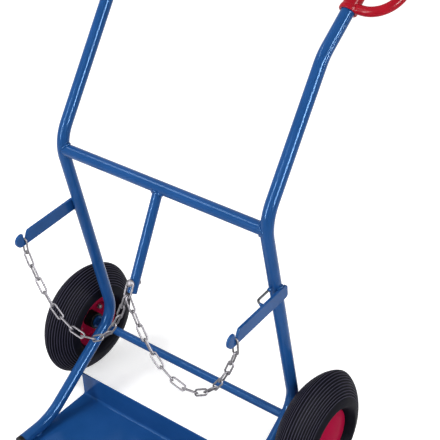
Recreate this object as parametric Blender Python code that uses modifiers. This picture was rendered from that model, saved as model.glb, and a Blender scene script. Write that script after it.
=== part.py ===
"""Gas cylinder cart: a bent-tube hand truck for two cylinders, with a toe plate,
two hook arms with a hanging chain, hand grips and two air-filled wheels.

Lengths are in metres. +X is to the right for someone facing the toe plate,
-Y is the front and +Z is up. The origin is on the ground under the cart's middle.
"""
import math

import bmesh
import bpy
from mathutils import Matrix, Vector

# Clearance between neighbouring pieces
GAP = 0.0003

# Side tubes, one bent pipe on each side
TUBE_DIAMETER = 0.0269
TUBE_WALL = 0.0026
TUBE_SPACING = 0.530
TOE_LENGTH = 0.087
TOE_SLOPE = math.radians(34.3)
MID_LENGTH = 0.528
MID_LEAN = math.radians(10.65)
UPPER_LENGTH = 0.3255
UPPER_LEAN = math.radians(34.8)
HANDLE_LENGTH = 0.216
HANDLE_LEAN = math.radians(54.1)
TOE_BEND_RADIUS = 0.135
AXLE_BEND_RADIUS = 0.070
KNEE_BEND_RADIUS = 0.100
HANDLE_BEND_RADIUS = 0.100

# Crossbar and centre strut
CROSSBAR_DROP = 0.0202
STRUT_DIAMETER = 0.0213
STRUT_WALL = 0.0023
STRUT_LEAN = math.radians(27.6)
STRUT_TO_BOLT = 0.203
STRUT_END = 0.021

# Toe plate, a sheet under the toes with a folded rear flange
PLATE_THICKNESS = 0.003
PLATE_PAST_TUBE = 0.006
PLATE_BEHIND_BEND = 0.126
FLANGE_HEIGHT = 0.068
FOLD_RADIUS = 0.006

# Hook arms, flat bar on the outer face of each tube
ARM_DROP = 0.1795
ARM_SLOPE = math.radians(3.4)
ARM_HEIGHT = 0.030
ARM_THICKNESS = 0.006
ARM_REACH = 0.1795
ARM_BACK = 0.0125
NOTCH_WIDTH = 0.0058
NOTCH_FROM_TIP = 0.0244
NOTCH_BOTTOM = -0.0044
HOOK_RADIUS = 0.015
NOTCH_FLARE = 0.0085
NOTCH_CHAMFER = 0.006
ARM_CORNER = 0.006

# Key loop, a bent rod beside the right arm
LOOP_ROD = 0.005
LOOP_REACH = 0.061
LOOP_RISE = 0.016
LOOP_TILT = 0.008

# Chain and its bolt on the strut
LINK_WIRE = 0.004
LINK_PITCH = 0.0332
LINK_PLAY = 0.0008
LINK_SIDE_CLEARANCE = 0.001
CHAIN_LINKS = 14
BOLT_DIAMETER = 0.006
BOLT_HEAD_DIAMETER = 0.016
BOLT_HEAD_HEIGHT = 0.0045
NUT_WIDTH = 0.010
NUT_HEIGHT = 0.005
BOLT_TAIL = 0.004

# Axle
AXLE_DIAMETER = 0.020
AXLE_SEAT_ANGLE = math.radians(49.1)
SHOULDER_DIAMETER = 0.030
SHOULDER_WIDTH = 0.006
CLIP_DIAMETER = 0.034
CLIP_THICKNESS = 0.002
AXLE_CHAMFER = 0.001

# Wheels
WHEEL_CLEARANCE = 0.00915
TYRE_DIAMETER = 0.285
TYRE_WIDTH = 0.0948
TYRE_WIDEST_DIAMETER = 0.160
TYRE_WALL = 0.0065
CROWN_POWER = 1.5
BEAD_SEAT_DIAMETER = 0.104
LIP_DIAMETER = 0.131
RIM_WIDTH = 0.058
RIM_SHEET = 0.0025
RIM_BEND = 0.003
TUBE_SHELL = 0.002
VALVE_DIAMETER = 0.008
VALVE_LENGTH = 0.018
HUB_DIAMETER = 0.040
HUB_LENGTH = 0.056
STUD_DIAMETER = 0.006
STUD_CIRCLE = 0.076
STUD_TURN = math.radians(18.0)
STUD_LENGTH = 0.009
COVER_DIAMETER = 0.126
COVER_DOME = 0.008
COVER_SHEET = 0.0015

# Hand grips and toe caps
GRIP_START = 0.097
GRIP_DIAMETER = 0.0345
GRIP_COLLAR_DIAMETER = 0.038
GRIP_COLLAR_LENGTH = 0.008
GRIP_END_WALL = 0.006
GRIP_END_ROUND = 0.005
COLLAR_STEP = 0.003
COLLAR_CHAMFER = 0.001
GUARD_DIAMETER = 0.020
GUARD_REACH = 0.088
GUARD_LOWER_RADIUS = 0.060
GUARD_UPPER_RADIUS = 0.042
CAP_FLANGE = 0.009
CAP_PLUG = 0.018
CAP_CHAMFER = 0.0015

# Looks: colour, roughness and metallic value
BLUE_PAINT = ((0.018, 0.105, 0.335, 1.0), 0.38, 0.0)
RED_PAINT = ((0.350, 0.012, 0.030, 1.0), 0.35, 0.0)
RED_PLASTIC = ((0.470, 0.010, 0.022, 1.0), 0.45, 0.0)
BLACK_RUBBER = ((0.014, 0.014, 0.018, 1.0), 0.80, 0.0)
BLACK_PLASTIC = ((0.012, 0.012, 0.014, 1.0), 0.55, 0.0)
DARK_STEEL = ((0.030, 0.032, 0.040, 1.0), 0.45, 0.6)
BRIGHT_ZINC = ((0.620, 0.630, 0.650, 1.0), 0.28, 1.0)
TURNED_STEEL = ((0.480, 0.480, 0.490, 1.0), 0.35, 1.0)

for old in list(bpy.data.objects):
    bpy.data.objects.remove(old, do_unlink=True)

cart = bpy.data.collections.new("gas_cylinder_cart")
cutters = bpy.data.collections.new("cutters")
bpy.context.scene.collection.children.link(cart)
bpy.context.scene.collection.children.link(cutters)


def add(name, data, look):
    """New object of the cart with its own material."""
    obj = bpy.data.objects.new(name, data)
    cart.objects.link(obj)
    colour, roughness, metallic = look
    material = bpy.data.materials.new(name)
    material.use_nodes = True
    shader = material.node_tree.nodes["Principled BSDF"]
    shader.inputs["Base Color"].default_value = colour
    shader.inputs["Roughness"].default_value = roughness
    shader.inputs["Metallic"].default_value = metallic
    data.materials.clear()
    data.materials.append(material)
    return obj


def make_cutter(obj):
    """Move an object to the cutters, where it is drawn as wire and not rendered."""
    cart.objects.unlink(obj)
    cutters.objects.link(obj)
    obj.hide_render = True
    obj.display_type = "WIRE"
    return obj


def boolean(target, tool, operation):
    """Boolean of the target with a cutter."""
    step = target.modifiers.new(tool.name, "BOOLEAN")
    step.object = tool
    step.operation = operation
    step.solver = "EXACT"


def unit(angle):
    """Unit vector in the side view that leans back from the vertical by the angle."""
    return Vector((0.0, math.sin(angle), math.cos(angle)))


def rounded(corners, radii, steps):
    """Points of a line through the corners, with an arc at each inner corner."""
    points = [corners[0]]
    for before, corner, after, radius in zip(corners, corners[1:], corners[2:], radii):
        back = (before - corner).normalized()
        on = (after - corner).normalized()
        half = back.angle(on) / 2.0
        centre = corner + (back + on).normalized() * radius / math.sin(half)
        first = corner + back * radius / math.tan(half) - centre
        last = corner + on * radius / math.tan(half) - centre
        axis = first.cross(last)
        for i in range(steps + 1):
            turn = Matrix.Rotation(first.angle(last) * i / steps, 3, axis)
            points.append(centre + turn @ first)
    points.append(corners[-1])
    return points


def wire(name, points, radius, look, sides=8, cyclic=False, caps=True):
    """Round bar or tube surface along a line of points."""
    curve = bpy.data.curves.new(name, "CURVE")
    curve.dimensions = "3D"
    curve.bevel_depth = radius
    curve.bevel_resolution = sides // 2 - 2
    curve.use_fill_caps = caps
    spline = curve.splines.new("POLY")
    spline.points.add(len(points) - 1)
    for knot, point in zip(spline.points, points):
        knot.co = (point[0], point[1], point[2], 1.0)
    spline.use_cyclic_u = cyclic
    return add(name, curve, look)


def plate(name, outline, thickness, look):
    """Flat piece in local XY, its thickness split about z = 0."""
    curve = bpy.data.curves.new(name, "CURVE")
    curve.dimensions = "2D"
    curve.fill_mode = "BOTH"
    curve.extrude = thickness / 2.0
    spline = curve.splines.new("POLY")
    spline.points.add(len(outline) - 1)
    for knot, point in zip(spline.points, outline):
        knot.co = (point[0], point[1], 0.0, 1.0)
    spline.use_cyclic_u = True
    return add(name, curve, look)


def turned(name, profile, place, axis, look, segments=24):
    """Shape of revolution; the profile gives (radius, height along the axis)."""
    mesh = bpy.data.meshes.new(name)
    form = bmesh.new()
    knots = [form.verts.new((radius, 0.0, height)) for radius, height in profile]
    for one, other in zip(knots, knots[1:]):
        form.edges.new((one, other))
    if profile[0][0] > 0.0:
        form.edges.new((knots[-1], knots[0]))
    form.to_mesh(mesh)
    form.free()
    obj = add(name, mesh, look)
    obj.location = place
    obj.rotation_mode = "QUATERNION"
    obj.rotation_quaternion = Vector((0.0, 0.0, 1.0)).rotation_difference(axis)
    screw = obj.modifiers.new("Turn", "SCREW")
    screw.axis = "Z"
    screw.angle = 2.0 * math.pi
    screw.steps = segments
    screw.render_steps = segments
    screw.use_merge_vertices = True
    screw.merge_threshold = 0.00001
    return obj


def rod_cutter(name, start, end, radius, segments=16):
    """Cylinder between two points, used as a cutter."""
    length = (end - start).length
    profile = [(0.0, length), (radius, length), (radius, 0.0), (0.0, 0.0)]
    obj = turned(name, profile, start, (end - start).normalized(), DARK_STEEL, segments)
    return make_cutter(obj)


def as_mesh(obj):
    """Replace a curve object by a welded mesh object of the same name and place."""
    bpy.context.view_layer.update()
    graph = bpy.context.evaluated_depsgraph_get()
    mesh = bpy.data.meshes.new_from_object(obj.evaluated_get(graph))
    form = bmesh.new()
    form.from_mesh(mesh)
    bmesh.ops.remove_doubles(form, verts=form.verts, dist=0.00001)
    form.to_mesh(mesh)
    form.free()
    name = obj.name
    material = obj.data.materials[0]
    matrix = obj.matrix_world.copy()
    bpy.data.objects.remove(obj, do_unlink=True)
    solid = bpy.data.objects.new(name, mesh)
    mesh.materials.clear()
    mesh.materials.append(material)
    cart.objects.link(solid)
    solid.matrix_world = matrix
    return solid


def empty(name, place):
    """Empty that marks a joint and carries the pieces that move about it."""
    obj = bpy.data.objects.new(name, None)
    obj.empty_display_size = 0.05
    obj.location = place
    cart.objects.link(obj)
    return obj


def attach(child, parent):
    """Parent a piece and leave it where it is."""
    bpy.context.view_layer.update()
    child.parent = parent
    child.matrix_parent_inverse = parent.matrix_world.inverted()


# Side view of the frame, first with the axle bend at the origin
tube_r = TUBE_DIAMETER / 2.0
axle_r = AXLE_DIAMETER / 2.0
bend = Vector((0.0, 0.0, 0.0))
knee = bend + unit(-MID_LEAN) * MID_LENGTH
handle_bend = knee + unit(UPPER_LEAN) * UPPER_LENGTH
handle_end = handle_bend + unit(HANDLE_LEAN) * HANDLE_LENGTH
toe_way = Vector((0.0, -math.cos(TOE_SLOPE), -math.sin(TOE_SLOPE)))
inward = (unit(-MID_LEAN) + toe_way).normalized()
half_turn = unit(-MID_LEAN).angle(toe_way) / 2.0
bend_centre = bend + inward * AXLE_BEND_RADIUS / math.sin(half_turn)
seat_way = Vector((0.0, math.cos(AXLE_SEAT_ANGLE), -math.sin(AXLE_SEAT_ANGLE)))
axle_centre = bend_centre + seat_way * (AXLE_BEND_RADIUS + tube_r + GAP + axle_r)
ground = axle_centre.z - TYRE_DIAMETER / 2.0
toe_height = PLATE_THICKNESS + GAP + tube_r
toe_bend = bend + toe_way * (bend.z - ground - toe_height) / math.sin(TOE_SLOPE)
toe_end = toe_bend - Vector((0.0, TOE_LENGTH, 0.0))

# Shift to the ground and to the middle between toe caps and grip ends
grip_end = HANDLE_LENGTH - GRIP_START + GAP + GRIP_END_WALL
grip_round = GRIP_END_ROUND
grip_r = GRIP_DIAMETER / 2.0
grip_base = handle_bend + unit(HANDLE_LEAN) * GRIP_START
rear = max(
    grip_base.y + (grip_end - grip_round * (1.0 - math.cos(turn))) * math.sin(HANDLE_LEAN)
    + (grip_r - grip_round * (1.0 - math.sin(turn))) * math.cos(HANDLE_LEAN)
    for turn in [math.radians(30.0 * i) for i in range(4)]
)
front = toe_end.y - GAP - CAP_FLANGE
shift = Vector((0.0, -(front + rear) / 2.0, -ground))
bend += shift
knee += shift
handle_bend += shift
handle_end += shift
bend_centre += shift
axle_centre += shift
toe_bend += shift
toe_end += shift
grip_base += shift

# Side tubes
half_spacing = TUBE_SPACING / 2.0
side_line = rounded(
    [toe_end, toe_bend, bend, knee, handle_bend, handle_end],
    [TOE_BEND_RADIUS, AXLE_BEND_RADIUS, KNEE_BEND_RADIUS, HANDLE_BEND_RADIUS],
    6,
)
for side, sign in (("left", -1.0), ("right", 1.0)):
    line = [point + Vector((sign * half_spacing, 0.0, 0.0)) for point in side_line]
    tube = wire(side + "_side_tube", line, tube_r, BLUE_PAINT, sides=12, caps=False)
    wall = tube.modifiers.new("Wall", "SOLIDIFY")
    wall.thickness = TUBE_WALL
    wall.offset = -1.0
    sleeve = wire(side + "_tube_space", line, tube_r + GAP, DARK_STEEL, sides=12)
    make_cutter(as_mesh(sleeve))

# Upper crossbar, coped against both side tubes
bar_z = knee.z - CROSSBAR_DROP
bar_y = knee.y
for low, high in zip(side_line, side_line[1:]):
    if low.z <= bar_z <= high.z and high.z - low.z > 0.00001:
        bar_y = low.y + (high.y - low.y) * (bar_z - low.z) / (high.z - low.z)
bar_centre = Vector((0.0, bar_y, bar_z))
along_x = Vector((1.0, 0.0, 0.0))
bar_inner = tube_r - TUBE_WALL
bar_half = half_spacing - tube_r * 0.55
bar_profile = [(tube_r, bar_half), (tube_r, -bar_half), (bar_inner, -bar_half), (bar_inner, bar_half)]
crossbar = turned("upper_crossbar", bar_profile, bar_centre, along_x, BLUE_PAINT, 16)
for side in ("left", "right"):
    boolean(crossbar, bpy.data.objects[side + "_tube_space"], "DIFFERENCE")

# Centre strut below the crossbar, coped over it and drilled for the bolt
strut_way = -unit(STRUT_LEAN)
bolt_way = Vector((0.0, -math.cos(STRUT_LEAN), math.sin(STRUT_LEAN)))
strut_r = STRUT_DIAMETER / 2.0
strut_length = STRUT_TO_BOLT + STRUT_END
strut_inner = strut_r - STRUT_WALL
cope = tube_r * 0.7
strut_profile = [(strut_r, strut_length), (strut_r, cope), (strut_inner, cope), (strut_inner, strut_length)]
strut = turned("centre_strut", strut_profile, bar_centre, strut_way, BLUE_PAINT, 16)
bolt_centre = bar_centre + strut_way * STRUT_TO_BOLT
side_step = Vector((tube_r * 2.0, 0.0, 0.0))
bar_space = rod_cutter("crossbar_space", bar_centre - side_step, bar_centre + side_step, tube_r + GAP)
bolt_reach = bolt_way * STRUT_DIAMETER
bolt_hole = rod_cutter(
    "bolt_hole", bolt_centre - bolt_reach, bolt_centre + bolt_reach, BOLT_DIAMETER / 2.0 + GAP, 12
)
boolean(strut, bar_space, "DIFFERENCE")
boolean(strut, bolt_hole, "DIFFERENCE")

# Toe plate under both toes, folded up at the rear
plate_half = PLATE_THICKNESS / 2.0
fold_y = toe_bend.y + PLATE_BEHIND_BEND
outer_fold = FOLD_RADIUS + PLATE_THICKNESS
under = [
    Vector((toe_end.y, -plate_half, 0.0)),
    Vector((fold_y, -plate_half, 0.0)),
    Vector((fold_y, FLANGE_HEIGHT - plate_half, 0.0)),
]
over = [
    Vector((fold_y - PLATE_THICKNESS, FLANGE_HEIGHT - plate_half, 0.0)),
    Vector((fold_y - PLATE_THICKNESS, plate_half, 0.0)),
    Vector((toe_end.y, plate_half, 0.0)),
]
plate_outline = rounded(under, [outer_fold], 4) + rounded(over, [FOLD_RADIUS], 4)
plate_width = TUBE_SPACING + 2.0 * PLATE_PAST_TUBE
toe_plate = plate("toe_plate", plate_outline, plate_width, BLUE_PAINT)
toe_plate.matrix_world = Matrix(
    ((0.0, 0.0, 1.0, 0.0), (1.0, 0.0, 0.0, 0.0), (0.0, 1.0, 0.0, plate_half), (0.0, 0.0, 0.0, 1.0))
)

# Hook arms: u runs forward along the bar and v up across it
arm_root = knee - unit(-MID_LEAN) * ARM_DROP
arm_u = Vector((0.0, -math.cos(ARM_SLOPE), -math.sin(ARM_SLOPE)))
arm_v = Vector((0.0, -math.sin(ARM_SLOPE), math.cos(ARM_SLOPE)))
arm_x = half_spacing + tube_r + GAP + ARM_THICKNESS / 2.0
arm_half = ARM_HEIGHT / 2.0
hook_u = ARM_REACH - HOOK_RADIUS
hook_v = -arm_half + HOOK_RADIUS
notch_u = ARM_REACH - NOTCH_FROM_TIP
notch_r = NOTCH_WIDTH / 2.0
notch_v = NOTCH_BOTTOM + notch_r
notch_front = notch_u + notch_r
arm_outline = [
    (ARM_CORNER - ARM_BACK, -arm_half),
    (-ARM_BACK, ARM_CORNER - arm_half),
    (-ARM_BACK, arm_half - ARM_CORNER),
    (ARM_CORNER - ARM_BACK, arm_half),
    (notch_u - NOTCH_FLARE - NOTCH_CHAMFER, arm_half),
    (notch_u - NOTCH_FLARE - NOTCH_CHAMFER * 0.3, arm_half - NOTCH_CHAMFER * 0.3),
    (notch_u - NOTCH_FLARE, arm_half - NOTCH_CHAMFER),
]
for i in range(5):
    turn = math.radians(200.0 + 40.0 * i)
    arm_outline.append((notch_u + notch_r * math.cos(turn), notch_v + notch_r * math.sin(turn)))
hook_start = math.acos((notch_front - hook_u) / HOOK_RADIUS)
for i in range(11):
    turn = hook_start - (hook_start + math.pi / 2.0) * i / 10
    arm_outline.append((hook_u + HOOK_RADIUS * math.cos(turn), hook_v + HOOK_RADIUS * math.sin(turn)))
for side, sign in (("left", -1.0), ("right", 1.0)):
    arm = plate(side + "_arm", arm_outline, ARM_THICKNESS, BLUE_PAINT)
    arm.matrix_world = Matrix.Translation((sign * arm_x, arm_root.y, arm_root.z)) @ Matrix(
        ((0.0, 0.0, -1.0), (arm_u.y, arm_v.y, 0.0), (arm_u.z, arm_v.z, 0.0))
    ).to_4x4()

# Key loop from the front of the right tube to the inner face of the right arm
tube_rake = math.tan(MID_LEAN - ARM_SLOPE)
loop_start = LOOP_RISE * tube_rake + (tube_r + GAP) / math.cos(MID_LEAN - ARM_SLOPE)
loop_start += LOOP_ROD * tube_rake
loop_x = half_spacing
loop_end_x = arm_x - ARM_THICKNESS / 2.0 - GAP - 0.5 * LOOP_ROD * LOOP_TILT / (arm_x - loop_x)
loop_corners = [
    arm_root + arm_u * loop_start + arm_v * LOOP_RISE + Vector((loop_x, 0.0, 0.0)),
    arm_root + arm_u * LOOP_REACH + arm_v * LOOP_RISE + Vector((loop_x, 0.0, 0.0)),
    arm_root + arm_u * LOOP_REACH + arm_v * (LOOP_RISE - LOOP_TILT) + Vector((loop_end_x, 0.0, 0.0)),
]
wire("key_loop", rounded(loop_corners, [LOOP_ROD * 1.2], 4), LOOP_ROD / 2.0, DARK_STEEL, sides=8)

# Toe caps, plugs with a flange over the tube's end
plug_r = tube_r * math.cos(math.pi / 12.0) - TUBE_WALL - GAP
for side, sign in (("left", -1.0), ("right", 1.0)):
    cap_profile = [
        (0.0, GAP + CAP_FLANGE),
        (tube_r - CAP_CHAMFER, GAP + CAP_FLANGE),
        (tube_r, GAP + CAP_FLANGE - CAP_CHAMFER),
        (tube_r, GAP),
        (plug_r, GAP),
        (plug_r, -CAP_PLUG),
        (0.0, -CAP_PLUG),
    ]
    place = toe_end + Vector((sign * half_spacing, 0.0, 0.0))
    turned(side + "_toe_cap", cap_profile, place, Vector((0.0, -1.0, 0.0)), BLACK_PLASTIC, 16)

# Hand grips: a sleeve on the tube's end and a guard from its foot to its head
collar_r = GRIP_COLLAR_DIAMETER / 2.0
grip_profile = [(0.0, grip_end)]
for i in range(4):
    turn = math.radians(30.0 * i)
    grip_profile.append(
        (
            grip_r - grip_round * (1.0 - math.sin(turn)),
            grip_end - grip_round * (1.0 - math.cos(turn)),
        )
    )
grip_profile += [
    (grip_r, GRIP_COLLAR_LENGTH + COLLAR_STEP),
    (collar_r, GRIP_COLLAR_LENGTH),
    (collar_r, COLLAR_CHAMFER),
    (collar_r - COLLAR_CHAMFER, 0.0),
    (0.0, 0.0),
]
guard_r = GUARD_DIAMETER / 2.0
guard_low = guard_r
guard_high = grip_end - guard_r
handle_way = unit(HANDLE_LEAN)
for side, sign in (("left", -1.0), ("right", 1.0)):
    place = grip_base + Vector((sign * half_spacing, 0.0, 0.0))
    grip = turned(side + "_grip", grip_profile, place, handle_way, RED_PLASTIC, 16)
    out = Vector((sign, 0.0, 0.0))
    guard_corners = [
        place + handle_way * guard_low,
        place + handle_way * guard_low + out * GUARD_REACH,
        place + handle_way * guard_high + out * GUARD_REACH,
        place + handle_way * guard_high,
    ]
    guard_line = rounded(guard_corners, [GUARD_LOWER_RADIUS, GUARD_UPPER_RADIUS], 6)
    guard = as_mesh(wire(side + "_guard", guard_line, guard_r * 0.985, RED_PLASTIC, sides=10))
    boolean(grip, make_cutter(guard), "UNION")
    bore = rod_cutter(
        side + "_grip_bore",
        place - handle_way * GRIP_COLLAR_LENGTH,
        place + handle_way * (grip_end - GRIP_END_WALL),
        tube_r + GAP,
    )
    boolean(grip, bore, "DIFFERENCE")

# Chain links, all of one shape
link_r = LINK_WIRE / 2.0
link_half_width = ARM_THICKNESS / 2.0 + LINK_SIDE_CLEARANCE
link_inner = LINK_PITCH + LINK_PLAY


def link_line(half_width, inner_length):
    """Centre line of a link: two straight sides and two half circles."""
    radius = half_width + link_r
    straight = inner_length / 2.0 - half_width
    points = []
    for centre, start in ((straight, -90.0), (-straight, 90.0)):
        for i in range(7):
            turn = math.radians(start + 30.0 * i)
            points.append((centre + radius * math.cos(turn), radius * math.sin(turn), 0.0))
    return points


def place_link(obj, centre, way, across):
    """Turn a link so that its length follows way and its width follows across."""
    normal = way.cross(across).normalized()
    width = normal.cross(way)
    turn = Matrix((way, width, normal)).transposed().to_4x4()
    obj.matrix_world = Matrix.Translation(centre) @ turn


# Anchor link on the bolt, wide enough for the end links of both halves
anchor_half_width = LINK_WIRE + 7.0 * GAP
anchor_line = link_line(anchor_half_width, link_inner)
anchor_plane = bolt_centre + bolt_way * (strut_r + GAP + link_r)
anchor_top = anchor_plane - strut_way * (BOLT_DIAMETER / 2.0 + GAP)
anchor_centre = anchor_top + strut_way * link_inner / 2.0
anchor_link = wire("anchor_link", anchor_line, link_r, BRIGHT_ZINC, sides=6, cyclic=True, caps=False)
place_link(anchor_link, anchor_centre, strut_way, along_x)
eye_centre = anchor_top + strut_way * (link_inner - anchor_half_width)
eye_radius = anchor_half_width - link_r - LINK_PLAY - GAP
end_aside = link_r + GAP
end_down = math.sqrt(eye_radius ** 2 - end_aside ** 2)

# Hook links, each hung in the notch of its arm
arch_drop = link_half_width - math.sqrt(link_half_width ** 2 - (ARM_THICKNESS / 2.0) ** 2)
hook_top = arm_root + arm_u * notch_u + arm_v * NOTCH_BOTTOM
hook_top.z += link_r + arch_drop + GAP
up = Vector((0.0, 0.0, 1.0))
down = -up


def hanging(start, end, length, count):
    """Points at equal steps along a chain of the given length hung between two points."""
    run = math.hypot(end.x - start.x, end.y - start.y)
    rise = end.z - start.z
    slack = math.sqrt(length ** 2 - rise ** 2) / run
    low = 0.000001
    high = 20.0
    for _ in range(80):
        middle = (low + high) / 2.0
        if math.sinh(middle) / middle < slack:
            low = middle
        else:
            high = middle
    size = run / (2.0 * low)
    lowest = run / 2.0 - size * math.atanh(rise / length)
    begin = size * math.sinh(-lowest / size)
    points = []
    for i in range(count + 1):
        place = size * math.asinh((begin + length * i / count) / size)
        height = size * (math.cosh(place / size) - math.cosh(lowest / size))
        share = (place + lowest) / run
        points.append(
            Vector(
                (
                    start.x + (end.x - start.x) * share,
                    start.y + (end.y - start.y) * share,
                    start.z + height,
                )
            )
        )
    return points


# The two halves of the chain; neighbouring links cross at right angles or nearly so
twist = math.pi / 2.0 * (CHAIN_LINKS - CHAIN_LINKS % 2) / (CHAIN_LINKS - 1)
for side, sign in (("left", -1.0), ("right", 1.0)):
    hook_link = wire(
        side + "_hook_link", link_line(link_half_width, link_inner), link_r, BRIGHT_ZINC, 6, True, False
    )
    top = hook_top + Vector((sign * arm_x, 0.0, 0.0))
    place_link(hook_link, top + down * (link_r + link_inner / 2.0), down, along_x)
    first_joint = top + down * (link_r + link_inner - LINK_PLAY / 2.0)
    hook_wire = first_joint + down * (link_r + LINK_PLAY / 2.0)
    end_way = (strut_way * end_down + Vector((sign * end_aside, 0.0, 0.0))) / eye_radius
    anchor_wire = eye_centre + end_way * (anchor_half_width + link_r)
    end_wire = eye_centre + end_way * eye_radius
    end_wire.y = anchor_wire.y - 2.0 * GAP
    level = Vector((-sign * arm_x, end_wire.y - first_joint.y, 0.0)).normalized()
    across = down.cross(level)
    way = up
    for _ in range(6):
        last_joint = end_wire - way * (link_r + LINK_PLAY / 2.0)
        joints = hanging(first_joint, last_joint, CHAIN_LINKS * LINK_PITCH, CHAIN_LINKS)
        way = (joints[-1] - joints[-2]).normalized()
    swing = empty(side + "_chain_swing", (hook_wire + anchor_wire) / 2.0)
    for i in range(CHAIN_LINKS):
        way = (joints[i + 1] - joints[i]).normalized()
        lift = way.cross(across)
        width = across * math.cos(twist * i) + lift * math.sin(twist * i)
        name = "%s_chain_link_%02d" % (side, i + 1)
        link = wire(name, link_line(link_half_width, link_inner), link_r, BRIGHT_ZINC, 6, True, False)
        place_link(link, (joints[i] + joints[i + 1]) / 2.0, way, width)
        attach(link, swing)

# Anchor bolt through link and strut, with its nut behind
head_under = strut_r + 2.0 * GAP + LINK_WIRE
tail = strut_r + GAP + NUT_HEIGHT + BOLT_TAIL
head_r = BOLT_HEAD_DIAMETER / 2.0
bolt_profile = [(0.0, head_under + BOLT_HEAD_HEIGHT)]
for i in range(1, 5):
    turn = math.radians(22.5 * i)
    bolt_profile.append((head_r * math.sin(turn), head_under + BOLT_HEAD_HEIGHT * math.cos(turn)))
bolt_profile += [(BOLT_DIAMETER / 2.0, head_under), (BOLT_DIAMETER / 2.0, -tail), (0.0, -tail)]
turned("anchor_bolt", bolt_profile, bolt_centre, bolt_way, BRIGHT_ZINC, 12)
nut_r = NUT_WIDTH / math.sqrt(3.0)
nut_near = -strut_r - GAP
nut_profile = [(0.0, nut_near), (nut_r, nut_near), (nut_r, nut_near - NUT_HEIGHT), (0.0, nut_near - NUT_HEIGHT)]
nut = turned("anchor_nut", nut_profile, bolt_centre, bolt_way, BRIGHT_ZINC, 6)
boolean(nut, bolt_hole, "DIFFERENCE")

# Axle with a shoulder on the inner side of each wheel
wheel_x = half_spacing + tube_r + WHEEL_CLEARANCE + TYRE_WIDTH / 2.0
hub_half = HUB_LENGTH / 2.0
shoulder_out = wheel_x - hub_half - GAP
shoulder_in = shoulder_out - SHOULDER_WIDTH
shoulder_r = SHOULDER_DIAMETER / 2.0
clip_in = wheel_x + hub_half + GAP
axle_half = clip_in + 2.0 * CLIP_THICKNESS
axle_profile = [
    (0.0, axle_half),
    (axle_r - AXLE_CHAMFER, axle_half),
    (axle_r, axle_half - AXLE_CHAMFER),
    (axle_r, shoulder_out),
    (shoulder_r, shoulder_out),
    (shoulder_r, shoulder_in),
    (axle_r, shoulder_in),
]
axle_profile += [(radius, -height) for radius, height in reversed(axle_profile)]
turned("axle", axle_profile, axle_centre, along_x, BLUE_PAINT, 24)

# Wheel sections; heights are measured outward from the wheel's middle plane
tyre_r = TYRE_DIAMETER / 2.0
tyre_half = TYRE_WIDTH / 2.0
widest_r = TYRE_WIDEST_DIAMETER / 2.0
seat_r = BEAD_SEAT_DIAMETER / 2.0
lip_r = LIP_DIAMETER / 2.0
rim_half = RIM_WIDTH / 2.0
bead_out = rim_half - RIM_SHEET - GAP


def crown(half_width, top, middle, steps):
    """Rounded tread section from one widest point over the crown to the other."""
    points = []
    for i in range(steps + 1):
        turn = math.pi * i / steps
        across = math.copysign(abs(math.cos(turn)) ** (2.0 / CROWN_POWER), math.cos(turn))
        points.append((middle + (top - middle) * math.sin(turn) ** (2.0 / CROWN_POWER), half_width * across))
    return points


def section(outer):
    """Sidewall points below the widest point on one side, from bead to widest."""
    share = (0.0, 0.0) if outer else (TYRE_WALL, TYRE_WALL * 0.8)
    half_width = tyre_half - share[0]
    bead = bead_out - share[1]
    start = lip_r + 2.0 * GAP
    return [
        (seat_r + GAP, bead),
        (start, bead),
        (start + (widest_r - start) * 0.22, bead + (half_width - bead) * 0.38),
        (start + (widest_r - start) * 0.55, bead + (half_width - bead) * 0.80),
    ]


outside = section(True)
inside = section(False)
tyre_profile = list(outside)
tyre_profile += crown(tyre_half, tyre_r, widest_r, 12)
tyre_profile += [(radius, -height) for radius, height in reversed(outside)]
tyre_profile += [(radius, -height) for radius, height in inside]
tyre_profile += list(reversed(crown(tyre_half - TYRE_WALL, tyre_r - TYRE_WALL, widest_r, 8)))
tyre_profile += list(reversed(inside))

# Inner tube section, which follows the inside of the tyre and the bead seats


def air(offset):
    """Closed section at the given distance inside the tyre and above the rim."""
    half_width = tyre_half - TYRE_WALL - offset
    top = crown(half_width, tyre_r - TYRE_WALL - offset, widest_r, 8)
    low = [(seat_r + offset, inside[0][1] - offset)]
    low += [(radius, height - offset) for radius, height in inside[1:]]
    return top + [(radius, -height) for radius, height in reversed(low)] + low


air_outer = air(2.0 * GAP)
air_inner = air(2.0 * GAP + TUBE_SHELL)

# Rim half section: web against its twin, bead seat and lip
hub_r = HUB_DIAMETER / 2.0
web = GAP / 2.0
seat_in = seat_r - RIM_SHEET
rim_profile = [
    (hub_r + GAP, web + RIM_SHEET),
    (seat_in - RIM_BEND, web + RIM_SHEET),
    (seat_in, web + RIM_SHEET + RIM_BEND),
    (seat_in, rim_half - RIM_BEND),
    (seat_in + RIM_BEND, rim_half),
    (lip_r, rim_half),
    (lip_r, rim_half - RIM_SHEET),
    (seat_r, rim_half - RIM_SHEET),
    (seat_r, web + RIM_BEND),
    (seat_r - RIM_BEND, web),
    (hub_r + GAP, web),
]

bore_r = axle_r + GAP
hub_profile = [(hub_r, hub_half), (hub_r, -hub_half), (bore_r, -hub_half), (bore_r, hub_half)]

# Cover section: a shallow dome that rests on the lip of the outer rim half
cover_r = COVER_DIAMETER / 2.0
cover_low = rim_half + GAP
cover_outer = []
cover_inner = []
for i in range(6):
    radius = cover_r * i / 5
    rise = COVER_DOME * (1.0 - (radius / cover_r) ** 2)
    cover_outer.append((radius, cover_low + COVER_SHEET + rise))
    cover_inner.append((radius * (1.0 - 0.008 * (i == 5)), cover_low + rise))
cover_profile = cover_outer + list(reversed(cover_inner))

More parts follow.
